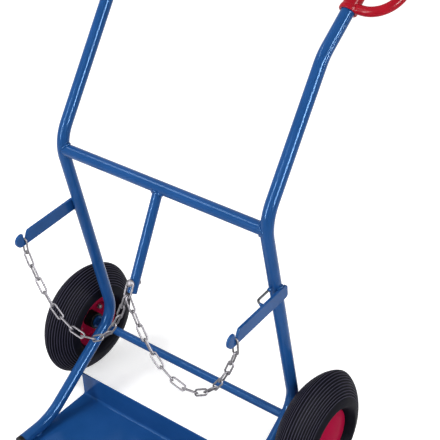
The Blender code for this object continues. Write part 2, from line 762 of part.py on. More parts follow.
clip_r = CLIP_DIAMETER / 2.0
clip_profile = [
    (clip_r, CLIP_THICKNESS),
    (clip_r, 0.0),
    (bore_r, 0.0),
    (bore_r, CLIP_THICKNESS),
]
stud_r = STUD_DIAMETER / 2.0
stud_turns = [STUD_TURN + math.pi / 2.0 * i for i in range(4)]
stud_ways = [Vector((0.0, math.cos(turn), math.sin(turn))) for turn in stud_turns]

# Wheels and the clips that hold them on the axle
for side, sign in (("left", -1.0), ("right", 1.0)):
    out = Vector((sign, 0.0, 0.0))
    centre = axle_centre + out * wheel_x
    turning = empty(side + "_wheel_axis", centre)
    tyre = turned(side + "_tyre", tyre_profile, centre, out, BLACK_RUBBER, 28)
    hub = turned(side + "_hub", hub_profile, centre, out, BLACK_PLASTIC, 24)
    cover = turned(side + "_wheel_cover", cover_profile, centre, out, RED_PAINT, 28)

    inner_tube = turned(side + "_inner_tube", air_outer, centre, out, BLACK_RUBBER, 28)
    hollow = make_cutter(turned(side + "_air", air_inner, centre, out, BLACK_RUBBER, 28))
    boolean(inner_tube, hollow, "DIFFERENCE")
    stem_base = centre + out * rim_half * 0.5
    stem_in = stem_base + up * (seat_r - VALVE_LENGTH)
    stem = rod_cutter(side + "_stem", stem_in, stem_base + up * (seat_r + TUBE_SHELL), VALVE_DIAMETER / 2.0, 10)
    boolean(inner_tube, stem, "UNION")
    passage = rod_cutter(side + "_passage", stem_in - up * VALVE_DIAMETER / 2.0, stem_base + up * widest_r, VALVE_DIAMETER / 5.0, 8)
    boolean(inner_tube, passage, "DIFFERENCE")

    rim_outer = turned(side + "_rim_outer", rim_profile, centre, out, RED_PAINT, 28)
    slot = rod_cutter(
        side + "_valve_hole", stem_base + up * (seat_r - VALVE_LENGTH), stem_base + up * lip_r, VALVE_DIAMETER / 2.0 + GAP, 12
    )
    boolean(rim_outer, slot, "DIFFERENCE")
    rim_inner = turned(side + "_rim_inner", rim_profile, centre, -out, RED_PAINT, 28)
    for i, way in enumerate(stud_ways):
        foot = centre + way * STUD_CIRCLE / 2.0 + out * (web + RIM_SHEET * 0.5)
        tip = centre + way * STUD_CIRCLE / 2.0 - out * STUD_LENGTH
        stud = rod_cutter("%s_stud_%d" % (side, i + 1), foot, tip, stud_r, 8)
        boolean(rim_outer, stud, "UNION")
        hole = rod_cutter("%s_stud_hole_%d" % (side, i + 1), foot, tip, stud_r + GAP, 10)
        boolean(rim_inner, hole, "DIFFERENCE")

    for piece in (tyre, hub, cover, inner_tube, rim_outer, rim_inner):
        attach(piece, turning)
    clip_place = axle_centre + out * clip_in
    turned(side + "_axle_clip", clip_profile, clip_place, out, TURNED_STEEL, 16)
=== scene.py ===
import math

import bmesh
import bpy
import numpy as np
from mathutils import Matrix


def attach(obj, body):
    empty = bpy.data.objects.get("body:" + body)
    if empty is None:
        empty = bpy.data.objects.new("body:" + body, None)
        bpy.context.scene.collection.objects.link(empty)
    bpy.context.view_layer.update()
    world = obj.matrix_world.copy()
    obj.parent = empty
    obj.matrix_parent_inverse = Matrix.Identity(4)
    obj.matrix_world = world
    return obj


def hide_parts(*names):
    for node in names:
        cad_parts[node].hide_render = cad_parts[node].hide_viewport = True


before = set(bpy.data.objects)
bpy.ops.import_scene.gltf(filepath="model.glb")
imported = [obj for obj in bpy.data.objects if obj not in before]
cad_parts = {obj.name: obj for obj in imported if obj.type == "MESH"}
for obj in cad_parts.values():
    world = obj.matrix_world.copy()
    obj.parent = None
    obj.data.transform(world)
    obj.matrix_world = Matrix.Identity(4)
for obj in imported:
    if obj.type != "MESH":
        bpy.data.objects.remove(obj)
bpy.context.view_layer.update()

# Side tubes
# One length of drawn steel pipe on each side, bent at the toe, the axle, the knee and the handle.
# The frame is welded together from such pipe and then coated all over in glossy blue enamel.
TUBE_R = 0.01345
TUBE_BORE = 0.01085
TUBE_X = 0.265
TUBE_SIDES = 56
SIDE_CORNERS = (
    (0.0, -0.297661, 0.01675),
    (0.0, -0.210661, 0.01675),
    (0.0, 0.030594, 0.181323),
    (0.0, -0.066985, 0.700228),
    (0.0, 0.118782, 0.967512),
    (0.0, 0.293751, 1.094169),
)
SIDE_RADII = (0.135, 0.070, 0.100, 0.100)
ALONG_X = np.array((1.0, 0.0, 0.0))
SIDES = (("left", -1.0), ("right", 1.0))
SAME_POINT = 0.000002
NO_LENGTH = 0.000001


def unit(vectors):
    """Vectors divided by their own length."""
    vectors = np.asarray(vectors, float)
    return vectors / np.linalg.norm(vectors, axis=-1, keepdims=True)


def bent_line(corners, radii, arc_step=0.003, straight_step=0.015):
    """Line through corners with a tangent arc at each inner one.

    An arc's centre is on the corner's bisector, radius / sin(half angle) away, and its points turn
    evenly from one tangent point to the other. Straight runs are divided into equal steps.
    """
    corners = np.asarray(corners, float)
    runs = [corners[:1]]
    for before, corner, after, radius in zip(corners, corners[1:], corners[2:], radii):
        back, on = unit(before - corner), unit(after - corner)
        half = math.acos(np.clip(back @ on, -1.0, 1.0)) / 2.0
        centre = corner + unit(back + on) * radius / math.sin(half)
        first = corner + back * radius / math.tan(half) - centre
        last = corner + on * radius / math.tan(half) - centre
        whole = math.pi - 2.0 * half
        turn = np.linspace(0.0, whole, max(4, math.ceil(whole * radius / arc_step) + 1))[:, None]
        runs.append(centre + (np.sin(whole - turn) * first + np.sin(turn) * last) / math.sin(whole))
    runs.append(corners[-1:])
    line = [runs[0]]
    for run, following in zip(runs, runs[1:]):
        length = np.linalg.norm(following[0] - run[-1])
        share = np.linspace(0.0, 1.0, max(2, math.ceil(length / straight_step) + 1))[1:-1, None]
        line += [run[-1] + share * (following[0] - run[-1]), following]
    return np.concatenate(line)


def ring(radius, sides):
    """Circle of one radius, or a row of circles for a row of radii."""
    turn = np.arange(sides) * 2.0 * np.pi / sides
    return np.multiply.outer(radius, np.stack([np.cos(turn), np.sin(turn)], -1))


def sweep(line, across, section, closed=False):
    """Section carried along a line.

    At each point the line's direction is the mean of the steps before and after it. The section's
    first coordinate lies along across, squared to that direction, and its second at right angles.
    """
    step = unit(np.diff(np.concatenate([line, line[:1]]) if closed else line, axis=0))
    if closed:
        way = unit(step + np.roll(step, 1, axis=0))
    else:
        way = unit(np.concatenate([step[:1], step[:-1] + step[1:], step[-1:]]))
    side = unit(across - np.sum(across * way, -1, keepdims=True) * way)
    other = np.cross(way, side)
    return line[:, None] + section[..., :1] * side[:, None] + section[..., 1:] * other[:, None]


def pipe(line, across, outer, bore, sides):
    """Tube wall as one closed sheet: the outer circle goes along the line and the bore comes back."""
    out = sweep(line, across, ring(outer, sides))
    return np.concatenate([out, sweep(line, across, ring(bore, sides))[::-1]])


def piece(name, grids, material, along=False, sharp=40.0, crest=None):
    """One mesh from grids of points, each row a closed loop.

    Neighbours in a grid are joined by four-sided faces, and along joins the last row to the first.
    Points that fall together are merged, which closes poles, and the faces are turned outwards.
    Crest gives each point a share of its own for the material.
    """
    points, faces, count = [], [], 0
    for grid in grids:
        index = np.arange(grid.shape[0] * grid.shape[1]).reshape(grid.shape[:2]) + count
        count += index.size
        index = np.hstack([index, index[:, :1]])
        index = np.vstack([index, index[:1]]) if along else index
        corners = [index[:-1, :-1], index[:-1, 1:], index[1:, 1:], index[1:, :-1]]
        points.append(grid.reshape(-1, 3))
        faces.append(np.stack(corners, -1).reshape(-1, 4))
    mesh = bpy.data.meshes.new(name)
    mesh.from_pydata(np.concatenate(points).tolist(), [], np.concatenate(faces).tolist())
    if crest is not None:
        mesh.attributes.new("crest", "FLOAT", "POINT").data.foreach_set("value", crest.astype(np.float32))
    return finished(name, mesh, material, sharp)


def finished(name, mesh, material, sharp):
    """Object of a mesh with doubles merged, faces outward and edges over the sharp angle kept crisp."""
    form = bmesh.new()
    form.from_mesh(mesh)
    bmesh.ops.remove_doubles(form, verts=form.verts, dist=SAME_POINT)
    bmesh.ops.dissolve_degenerate(form, edges=form.edges, dist=NO_LENGTH)
    bmesh.ops.recalc_face_normals(form, faces=form.faces)
    form.to_mesh(mesh)
    form.free()
    mesh.polygons.foreach_set("use_smooth", np.ones(len(mesh.polygons), bool))
    mesh.set_sharp_from_angle(angle=math.radians(sharp))
    mesh.materials.append(material)
    obj = bpy.data.objects.new(name, mesh)
    bpy.context.scene.collection.objects.link(obj)
    return obj


def fit(obj, body, slot, *nodes):
    """The piece moves with a body and stands for these nodes, whose imported parts are hidden. The slot is
    not used.
    """
    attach(obj, body)
    if nodes:
        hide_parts(*nodes)


def linear(code):
    """Hex sRGB colour as linear light: a straight line near black, the 2.4 power curve above."""
    srgb = np.array([int(code[i:i + 2], 16) for i in (0, 2, 4)]) / 255.0
    light = np.where(srgb <= 0.04045, srgb / 12.92, ((srgb + 0.055) / 1.055) ** 2.4)
    return (*light.tolist(), 1.0)


def add_node(material, kind, inputs, **settings):
    """Shader node with its settings; each input gets a value or a link from another node's output."""
    made = material.node_tree.nodes.new(kind)
    for name, value in settings.items():
        setattr(made, name, value)
    for name, value in inputs.items():
        if isinstance(value, bpy.types.NodeSocket):
            material.node_tree.links.new(value, made.inputs[name])
        else:
            made.inputs[name].default_value = value
    return made


def surface(name, colours, patch_mm, roughness, grain_mm, grain_height_mm, **sockets):
    """Material with two colours mixed in soft patches and a roughness that wanders with them.

    A fine grain is raised as a bump. Sockets are set on the shader itself.
    """
    material = bpy.data.materials.new(name)
    material.use_nodes = True
    shader = material.node_tree.nodes["Principled BSDF"]
    links = material.node_tree.links
    place = add_node(material, "ShaderNodeTexCoord", {}).outputs["Object"]
    patch = add_node(material, "ShaderNodeTexNoise",
                     {"Vector": place, "Scale": 1000.0 / patch_mm, "Detail": 3.0}).outputs["Fac"]
    spread = {"Value": patch, "From Min": 0.3, "From Max": 0.7}
    share = add_node(material, "ShaderNodeMapRange", spread).outputs["Result"]
    mixed = add_node(material, "ShaderNodeMix",
                     {0: share, 6: linear(colours[0]), 7: linear(colours[1])}, data_type="RGBA")
    rough = add_node(material, "ShaderNodeMapRange",
                     {**spread, "To Min": roughness[0], "To Max": roughness[1]})
    grain = add_node(material, "ShaderNodeTexNoise",
                     {"Vector": place, "Scale": 1000.0 / grain_mm, "Detail": 2.0})
    bump = add_node(material, "ShaderNodeBump",
                    {"Height": grain.outputs["Fac"], "Distance": grain_height_mm / 1000.0})
    links.new(mixed.outputs[2], shader.inputs["Base Color"])
    links.new(rough.outputs["Result"], shader.inputs["Roughness"])
    links.new(bump.outputs["Normal"], shader.inputs["Normal"])
    for socket, value in sockets.items():
        shader.inputs[socket.replace("_", " ")].default_value = value
    return material


# Stoved enamel over steel: even colour with a faint flow of lighter and darker patches, a soft
# orange-peel skin and a clear gloss on top that draws thin light lines along the tubes
blue_enamel = surface("blue_enamel", ("1B4C88", "215291"), 60.0, (0.12, 0.16), 3.0, 0.001,
                      Specular_IOR_Level=0.19, Specular_Tint=linear("A0D0FF"))

side_line = bent_line(SIDE_CORNERS, SIDE_RADII)
for side, sign in SIDES:
    tube = piece(side + "_pipe",
                 [pipe(side_line + sign * TUBE_X * ALONG_X, ALONG_X, TUBE_R, TUBE_BORE, TUBE_SIDES)],
                 blue_enamel, along=True)
    fit(tube, "frame", "blue_paint", side + "_side_tube")

# Upper crossbar
# A straight length of the same pipe between the knees, its ends cut to the round of the side tubes.
# A fillet weld runs round each end.
BAR_CENTRE = np.array((0.0, -0.060726, 0.680028))
GAP = 0.0003
BAR_WELD = 0.0042
BAR_WELD_LEAST = 0.30
SADDLE_REACH = 0.99
WELD_RIPPLE = 0.0024
RIPPLE_SWELL = 0.05
BEAD_SIDES = 12
SEAM_POINTS = 120

bar_at = np.argmin(np.abs(side_line[:, 2] - BAR_CENTRE[2]))
tube_way = unit(side_line[bar_at + 1] - side_line[bar_at - 1])
tube_across = np.cross(ALONG_X, tube_way)


def bar_wall(radius, shares):
    """Cylinder about the crossbar's axis whose ends follow the side tubes.

    At each turn the half length is the tube's distance less the root of the tube's radius squared
    minus the point's offset across the tube squared.
    """
    flat = ring(radius, TUBE_SIDES)
    offset = flat[:, :1] * tube_across + flat[:, 1:] * tube_way
    reach = TUBE_X - np.sqrt(np.maximum((TUBE_R + GAP) ** 2 - flat[:, 0] ** 2, 0.0))
    return BAR_CENTRE + offset + shares[:, None, None] * reach[:, None] * ALONG_X


def bead(line, across, radius, closed=False):
    """Weld bead: a circle carried along a line, swelling a little with each ripple of the weld."""
    run = np.concatenate([[0.0], np.cumsum(np.linalg.norm(np.diff(line, axis=0), axis=1))])
    ripple = 1.0 + RIPPLE_SWELL * np.cos(2.0 * np.pi * run / WELD_RIPPLE)
    grid = sweep(line, across, ring(radius * ripple, BEAD_SIDES), closed)
    return np.concatenate([grid, grid[:1]]) if closed else capped(grid)


def capped(grid):
    """Grid with each open end drawn in to its middle point."""
    ends = [np.repeat(row.mean(0)[None, None], grid.shape[1], 1) for row in (grid[0], grid[-1])]
    return np.concatenate([ends[0], grid, ends[1]])


there = np.linspace(-1.0, 1.0, 33)
crossbar = piece("crossbar_pipe", [np.concatenate([bar_wall(TUBE_R, there), bar_wall(TUBE_BORE, -there)])],
                 blue_enamel, along=True)
fit(crossbar, "frame", "blue_paint", "upper_crossbar")
turn = np.linspace(0.0, 2.0 * np.pi, SEAM_POINTS + 1)[:-1]
saddle = np.cos(turn)[:, None] * tube_across * TUBE_R + np.sin(turn)[:, None] * tube_way * TUBE_R
saddle_x = TUBE_X - TUBE_R * np.sqrt(1.0 - (SADDLE_REACH * np.cos(turn)) ** 2)
saddle_weld = BAR_WELD * (BAR_WELD_LEAST + (1.0 - BAR_WELD_LEAST) * np.sin(turn) ** 2)
bar_welds = [bead(BAR_CENTRE + saddle + sign * saddle_x[:, None] * ALONG_X, ALONG_X, saddle_weld, True)
             for _, sign in SIDES]
fit(piece("crossbar_welds", bar_welds, blue_enamel), "frame", "blue_paint")

# Centre strut
# A thinner pipe that hangs from the middle of the crossbar and leans forward, cut to the bar's round
# at the top and square at the foot, with one weld all round.
STRUT_R = 0.01065
STRUT_BORE = 0.00835
STRUT_LENGTH = 0.224
STRUT_WAY = np.array((0.0, -0.463296, -0.886204))
BOLT_WAY = np.array((0.0, -0.886204, 0.463296))
STRUT_WELD = 0.0034


def strut_wall(radius, shares):
    """Cylinder about the strut's axis from the round of the crossbar to the square foot."""
    flat = ring(radius, TUBE_SIDES)
    start = np.sqrt((TUBE_R + GAP) ** 2 - flat[:, 1] ** 2)
    run = start + shares[:, None] * (STRUT_LENGTH - start)
    return BAR_CENTRE + flat[:, :1] * ALONG_X + flat[:, 1:] * BOLT_WAY + run[..., None] * STRUT_WAY


there = np.linspace(0.0, 1.0, 17)
strut_walls = np.concatenate([strut_wall(STRUT_R, there), strut_wall(STRUT_BORE, there[::-1])])
strut = piece("strut_pipe", [strut_walls], blue_enamel, along=True)
fit(strut, "frame", "blue_paint", "centre_strut")
seat = np.sqrt(TUBE_R ** 2 - (STRUT_R * np.sin(turn)) ** 2)[:, None] * STRUT_WAY
round_strut = np.cos(turn)[:, None] * ALONG_X + np.sin(turn)[:, None] * BOLT_WAY
strut_line = BAR_CENTRE + seat + STRUT_R * round_strut
strut_bead = bead(strut_line, STRUT_WAY, np.full(SEAM_POINTS, STRUT_WELD), True)
strut_weld = piece("strut_weld", [strut_bead], blue_enamel)
fit(strut_weld, "frame", "blue_paint")

# Toe plate
# Three millimetre sheet under the toes of the side tubes, folded up at the rear into a low flange.
# Its edges are deburred, and short stitch welds on the inner side of the toes hold it.
PLATE_FRONT = -0.297661
PLATE_FOLD = -0.084661
PLATE_UNDER = 0.0
PLATE_SHEET = 0.003
PLATE_HALF = 0.271
FLANGE_TOP = 0.068
FOLD_INSIDE = 0.006
PLATE_STITCHES = (-0.292, -0.262)
STITCH_LENGTH = 0.018
STITCH_WELD = 0.0028
STITCH_ASIDE = 0.0072
STITCH_LIFT = 0.0012
STITCH_POINTS = 61
PLATE_DEBURR = 0.0007
WELD_LEAST = 0.0002
DEBURR_SEGMENTS = 3
DEBURR_ANGLE = math.radians(35.0)


def slab(name, outline, push, material, edge):
    """Flat outline and its copy a push away, with a face on each and a band of faces between.

    A Bevel modifier then rounds the edges.
    """
    count = len(outline)
    index = np.arange(count)
    band = np.stack([index, np.roll(index, -1), np.roll(index, -1) + count, index + count], -1)
    mesh = bpy.data.meshes.new(name)
    points = np.concatenate([outline, outline + push])
    mesh.from_pydata(points.tolist(), [], band.tolist() + [index.tolist(), (index + count).tolist()])
    obj = finished(name, mesh, material, 180.0)
    round_edges = obj.modifiers.new("Deburred", "BEVEL")
    round_edges.width = edge
    round_edges.segments = DEBURR_SEGMENTS
    round_edges.limit_method = "ANGLE"
    round_edges.angle_limit = DEBURR_ANGLE
    round_edges.use_clamp_overlap = False
    round_edges.harden_normals = True
    return obj


def side_view(flat, x):
    """Points (y, z) of the side view set at one x."""
    return np.concatenate([np.full((len(flat), 1), x), flat], axis=1)


under = bent_line([(PLATE_FRONT, PLATE_UNDER), (PLATE_FOLD, PLATE_UNDER), (PLATE_FOLD, FLANGE_TOP)],
                  [FOLD_INSIDE + PLATE_SHEET], 0.001, 1.0)
over = bent_line([(PLATE_FOLD - PLATE_SHEET, FLANGE_TOP),
                  (PLATE_FOLD - PLATE_SHEET, PLATE_UNDER + PLATE_SHEET),
                  (PLATE_FRONT, PLATE_UNDER + PLATE_SHEET)], [FOLD_INSIDE], 0.001, 1.0)
plate = slab("toe_sheet", side_view(np.concatenate([under, over]), -PLATE_HALF),
             2.0 * PLATE_HALF * ALONG_X, blue_enamel, PLATE_DEBURR)
fit(plate, "frame", "blue_paint", "toe_plate")
stitch = np.linspace(0.0, 1.0, STITCH_POINTS)
stitch_taper = STITCH_WELD * (1.0 - np.abs(2.0 * stitch - 1.0) ** 6) + WELD_LEAST
stitch_z = np.full(STITCH_POINTS, PLATE_UNDER + PLATE_SHEET + STITCH_LIFT)
plate_welds = []
for _, sign in SIDES:
    for front in PLATE_STITCHES:
        stitch_x = np.full(STITCH_POINTS, sign * (TUBE_X - STITCH_ASIDE))
        line = np.stack([stitch_x, front + STITCH_LENGTH * stitch, stitch_z], -1)
        plate_welds.append(bead(line, ALONG_X, stitch_taper))
fit(piece("toe_plate_welds", plate_welds, blue_enamel), "frame", "blue_paint")

# Hook arms
# Six millimetre flat bar, notched near the tip and rounded off into a hook that holds a chain link.
# One lies on the outer face of each side tube and is welded along its upper and lower edge.
ARM_ROOT = np.array((0.0, -0.033812, 0.523820))
ARM_U = np.array((0.0, -0.998240, -0.059306))
ARM_V = np.array((0.0, -0.059306, 0.998240))
ARM_X = 0.28175
ARM_SHEET = 0.006
ARM_HALF = 0.015
ARM_BACK = -0.0125
ARM_CORNER = 0.0065
FLANK_TOP = (0.1432, 0.015)
NOTCH_CENTRE = (0.1551, -0.0015)
NOTCH_R = 0.0029
NOTCH_START = 200.0
HOOK_CENTRE = (0.1645, 0.0)
HOOK_R = 0.015
FLANK_BEND = 0.007
ARM_DEBURR = 0.0006
ARM_WELD = 0.0026
ARM_WELD_REACH = 0.0095
ARM_WELD_LIFT = 0.0006
ARM_SKEW = math.tan(math.radians(7.25))


def arc(centre, radius, start, end, count):
    """Points of a flat arc between two angles in degrees."""
    angle = np.radians(np.linspace(start, end, count))[:, None]
    return np.array(centre) + radius * np.concatenate([np.cos(angle), np.sin(angle)], axis=1)


notch = arc(NOTCH_CENTRE, NOTCH_R, NOTCH_START, 360.0, 15)
hook_start = math.degrees(math.acos((NOTCH_CENTRE[0] + NOTCH_R - HOOK_CENTRE[0]) / HOOK_R))
hook = arc(HOOK_CENTRE, HOOK_R, hook_start, -90.0, 41)
back = bent_line([hook[-1], (ARM_BACK, -ARM_HALF), (ARM_BACK, ARM_HALF), FLANK_TOP, notch[0]],
                 [ARM_CORNER, ARM_CORNER, FLANK_BEND], 0.001, 1.0)
outline = np.concatenate([back[1:-1], notch, hook])
arm_weld_u = np.linspace(-ARM_WELD_REACH, ARM_WELD_REACH, 41)
arm_weld_lift = np.sqrt(TUBE_R ** 2 - arm_weld_u ** 2)
arm_weld_taper = ARM_WELD * (1.0 - np.abs(arm_weld_u / ARM_WELD_REACH) ** 4) + WELD_LEAST
arm_welds = []
for side, sign in SIDES:
    place = ARM_ROOT + sign * (ARM_X - ARM_SHEET / 2.0) * ALONG_X
    points = place + outline[:, :1] * ARM_U + outline[:, 1:] * ARM_V
    arm = slab(side + "_hook_bar", points, sign * ARM_SHEET * ALONG_X, blue_enamel, ARM_DEBURR)
    fit(arm, "frame", "blue_paint", side + "_arm")
    for edge in (-ARM_HALF, ARM_HALF):
        weld_x = sign * (TUBE_X + arm_weld_lift + ARM_WELD_LIFT)
        line = ARM_ROOT + ((arm_weld_u + edge * ARM_SKEW)[:, None] * ARM_U + edge * ARM_V
                           + weld_x[:, None] * ALONG_X)
        arm_welds.append(bead(line, ARM_V, arm_weld_taper))
fit(piece("arm_welds", arm_welds, blue_enamel), "frame", "blue_paint")

# Key loop
# A bent steel rod beside the right arm for the cylinder key, dipped in dark paint.
# One end is welded to the front of the tube and the other to the arm.
LOOP_R = 0.0025
LOOP_BEND = 0.006
LOOP_CORNERS = ((0.016532, 0.016, 0.265), (0.061, 0.016, 0.265), (0.061, 0.008, 0.277256))
LOOP_WELD = 0.0041
LOOP_WELD_POINTS = 9

# Brushed-on black primer over drawn rod: dark grey with a dull sheen and a slightly lumpy skin
dark_primer = surface("dark_primer", ("23262C", "31353D"), 9.0, (0.35, 0.5), 1.2, 0.05, Metallic=0.2)

loop_points = [ARM_ROOT + u * ARM_U + v * ARM_V + x * ALONG_X for u, v, x in LOOP_CORNERS]
loop_plane = unit(np.cross(loop_points[1] - loop_points[0], loop_points[2] - loop_points[1]))
loop_line = bent_line(loop_points, [LOOP_BEND], 0.0006, 0.004)
key_loop = piece("key_rod", [capped(sweep(loop_line, loop_plane, ring(LOOP_R, 20)))], dark_primer)
fit(key_loop, "frame", "dark_rod", "key_loop")
loop_welds = []
for end, inner in ((0, 3), (-1, -4)):
    spot = np.linspace(loop_line[end], loop_line[inner], LOOP_WELD_POINTS)
    spot_r = LOOP_WELD * np.sqrt(1.0 - np.linspace(-0.35, 0.985, LOOP_WELD_POINTS) ** 2)
    loop_welds.append(bead(spot, loop_plane, spot_r))
fit(piece("key_loop_welds", loop_welds, blue_enamel), "frame", "blue_paint")

# Axle
# A solid steel bar across the cart, turned down from thicker stock so that a shoulder stands on the
# inner side of each wheel. It lies in the axle bends and is welded to both tubes.
AXLE_CENTRE = np.array((0.0, 0.014724, 0.1425))
AXLE_R = 0.010
AXLE_HALF = 0.3673
AXLE_CHAMFER = 0.001
SHOULDER_R = 0.015
SHOULDER_OUT = 0.3067
SHOULDER_IN = 0.3007
SHOULDER_EDGE = 0.0008
SHOULDER_CHAMFER = 0.0015
BEND_CENTRE = np.array((0.0, -0.046657, 0.213361))
AXLE_WELD_RING = 0.0085
AXLE_WELD_RISE = 0.0008


def turned(profile, centre, axis, sides):
    """Profile of (radius, height) turned about an axis through the centre."""
    profile = np.asarray(profile, float)
    first = unit(np.cross(axis, (0.0, 1.0, 0.0) if abs(axis[1]) < 0.8 else (1.0, 0.0, 0.0)))
    circle = ring(1.0, sides)
    spokes = circle[:, :1] * first + circle[:, 1:] * np.cross(axis, first)
    return centre + profile[:, 1, None, None] * axis + profile[:, 0, None, None] * spokes


axle_end = [(0.0, AXLE_HALF), (AXLE_R - AXLE_CHAMFER, AXLE_HALF), (AXLE_R, AXLE_HALF - AXLE_CHAMFER),
            (AXLE_R, SHOULDER_OUT), (SHOULDER_R - SHOULDER_EDGE, SHOULDER_OUT),
            (SHOULDER_R, SHOULDER_OUT - SHOULDER_EDGE), (SHOULDER_R, SHOULDER_IN + SHOULDER_CHAMFER),
            (SHOULDER_R - SHOULDER_CHAMFER, SHOULDER_IN), (AXLE_R, SHOULDER_IN)]
axle_between = [(AXLE_R, h) for h in np.linspace(SHOULDER_IN, -SHOULDER_IN, 25)[1:-1]]
axle_profile = axle_end + axle_between + [(r, -h) for r, h in reversed(axle_end)]
axle = piece("axle_bar", [turned(axle_profile, AXLE_CENTRE, ALONG_X, 56)], blue_enamel, sharp=30.0)
fit(axle, "frame", "blue_paint", "axle")
seat_way = unit(AXLE_CENTRE - BEND_CENTRE)
seat_along = np.cross(ALONG_X, seat_way)
seat_point = AXLE_CENTRE - seat_way * AXLE_R
off_x, off_t = AXLE_WELD_RING * np.cos(turn), AXLE_WELD_RING * np.sin(turn)
lift = (off_t ** 2 / (2.0 * AXLE_R) - off_x ** 2 / (2.0 * TUBE_R)) / 2.0
fill = (off_t ** 2 / (2.0 * AXLE_R) + off_x ** 2 / (2.0 * TUBE_R)) / 2.0 + AXLE_WELD_RISE
axle_welds = []
for _, sign in SIDES:
    line = (seat_point + (sign * TUBE_X + off_x)[:, None] * ALONG_X + off_t[:, None] * seat_along
            + lift[:, None] * seat_way)
    axle_welds.append(bead(line, seat_way, fill, True))
fit(piece("axle_welds", axle_welds, blue_enamel), "frame", "blue_paint")

# Toe caps
# Black polyethylene plugs, moulded in one piece and pushed into the open toes of the side tubes.
# A flange with a shallow dish covers the rim of the pipe.
CAP_AT = np.array((0.0, -0.297961, 0.01675))
CAP_FLANGE = 0.009
CAP_ROUND = 0.0014
CAP_PLUG = 0.018
CAP_PLUG_R = 0.01010
CAP_DISH = 0.0006
CAP_DISH_IN = 0.006
CAP_DISH_OUT = 0.008
FORWARD = np.array((0.0, -1.0, 0.0))

# Moulded polyethylene: near black, satin, with the fine spark-eroded grain of the mould
black_plastic = surface("black_polyethylene", ("0D0E10", "15161A"), 14.0, (0.42, 0.55), 0.5, 0.02,
                        Specular_IOR_Level=0.1)

cap_profile = bent_line([(0.0, CAP_FLANGE - CAP_DISH), (CAP_DISH_IN, CAP_FLANGE - CAP_DISH),
                         (CAP_DISH_OUT, CAP_FLANGE), (TUBE_R, CAP_FLANGE), (TUBE_R, 0.0),
                         (CAP_PLUG_R, 0.0), (CAP_PLUG_R, -CAP_PLUG), (0.0, -CAP_PLUG)],
                        [0.0008, 0.0008, CAP_ROUND, 0.0002, 0.0002, 0.001], 0.0003, 1.0)
for side, sign in SIDES:
    cap = piece(side + "_toe_plug", [turned(cap_profile, CAP_AT + sign * TUBE_X * ALONG_X, FORWARD, 48)],
                black_plastic)
    fit(cap, "frame", "black_plastic", side + "_toe_cap")

# Hand grips
# Red soft vinyl, dip-moulded in one with a hand guard: a closed sleeve with a collar at its foot and a
# thick bow from the foot to the head. They are warmed and pushed over the ends of the side tubes.
GRIP_BASE = np.array((0.0, 0.197356, 1.024390))
GRIP_WAY = np.array((0.0, 0.810042, 0.586372))
GRIP_R = 0.01725
GRIP_BORE = 0.01375
GRIP_END = 0.1253
GRIP_FLOOR = 0.1193
GRIP_ROUND = 0.005
COLLAR_R = 0.019
COLLAR_LENGTH = 0.008
COLLAR_STEP = 0.003
GUARD_R = 0.00985
GUARD_REACH = 0.088
GUARD_LOW = 0.010
GUARD_HIGH = 0.1153
GUARD_BENDS = (0.060, 0.042)
GUARD_ROOT = 0.012
GUARD_COVER = 0.0012
GRIP_VOXEL = 0.0009
FILLET_ROUNDS = 8

# Plasticised vinyl: strong red, glossy from the mould, a little deeper where it is thick
red_vinyl = surface("red_vinyl", ("A80E22", "B41428"), 25.0, (0.20, 0.28), 1.5, 0.010,
                    Specular_IOR_Level=0.08)

sleeve_profile = bent_line([(0.0, GRIP_FLOOR), (GRIP_BORE, GRIP_FLOOR), (GRIP_BORE, 0.0), (COLLAR_R, 0.0),
                            (COLLAR_R, COLLAR_LENGTH), (GRIP_R, COLLAR_LENGTH + COLLAR_STEP),
                            (GRIP_R, GRIP_END), (0.0, GRIP_END)],
                           [0.001, 0.0004, 0.0015, 0.002, 0.004, GRIP_ROUND], 0.0005, 0.004)
guard_plane = np.cross(ALONG_X, GRIP_WAY)
for side, sign in SIDES:
    place = GRIP_BASE + sign * TUBE_X * ALONG_X
    out = sign * ALONG_X
    guard_line = bent_line([place + GRIP_WAY * GUARD_LOW + out * GUARD_ROOT,
                            place + GRIP_WAY * GUARD_LOW + out * GUARD_REACH,
                            place + GRIP_WAY * GUARD_HIGH + out * GUARD_REACH,
                            place + GRIP_WAY * GUARD_HIGH + out * GUARD_ROOT], GUARD_BENDS, 0.002, 0.004)
    guard = sweep(guard_line, guard_plane, ring(GUARD_R, 32))
    for row in (0, -1):
        aside = (guard[row] - place) @ guard_plane
        depth = np.sqrt((GRIP_BORE + GUARD_COVER) ** 2 - aside ** 2)
        guard[row, :, 0] = place[0] + sign * depth
    sleeve = turned(sleeve_profile, place, GRIP_WAY, 64)
    grip = piece(side + "_vinyl_grip", [sleeve, capped(guard)], red_vinyl)
    union = grip.modifiers.new("One moulding", "REMESH")
    union.mode = "VOXEL"
    union.voxel_size = GRIP_VOXEL
    union.use_smooth_shade = True
    soften = grip.modifiers.new("Moulded fillets", "SMOOTH")
    soften.factor = 0.5
    soften.iterations = FILLET_ROUNDS
    fit(grip, "frame", "red_plastic", side + "_grip")

# Anchor bolt and nut
# A round-headed machine bolt through the strut's foot, zinc plated, with a hexagon nut behind.
# It holds the wide link in the middle of the chain.
BOLT_CENTRE = np.array((0.0, -0.154775, 0.500129))
BOLT_R = 0.003
HEAD_R = 0.008
HEAD_UNDER = 0.01525
HEAD_HEIGHT = 0.0045
HEAD_EDGE = 0.0003
BOLT_TAIL = -0.01995
THREAD_PITCH = 0.001
THREAD_DEPTH = 0.0004
THREAD_LEAD = 0.0008
NUT_NEAR = -0.01095
NUT_HEIGHT = 0.005
NUT_APOTHEM = 0.005
NUT_SIDES = 48
NUT_CLEAR = 0.0002

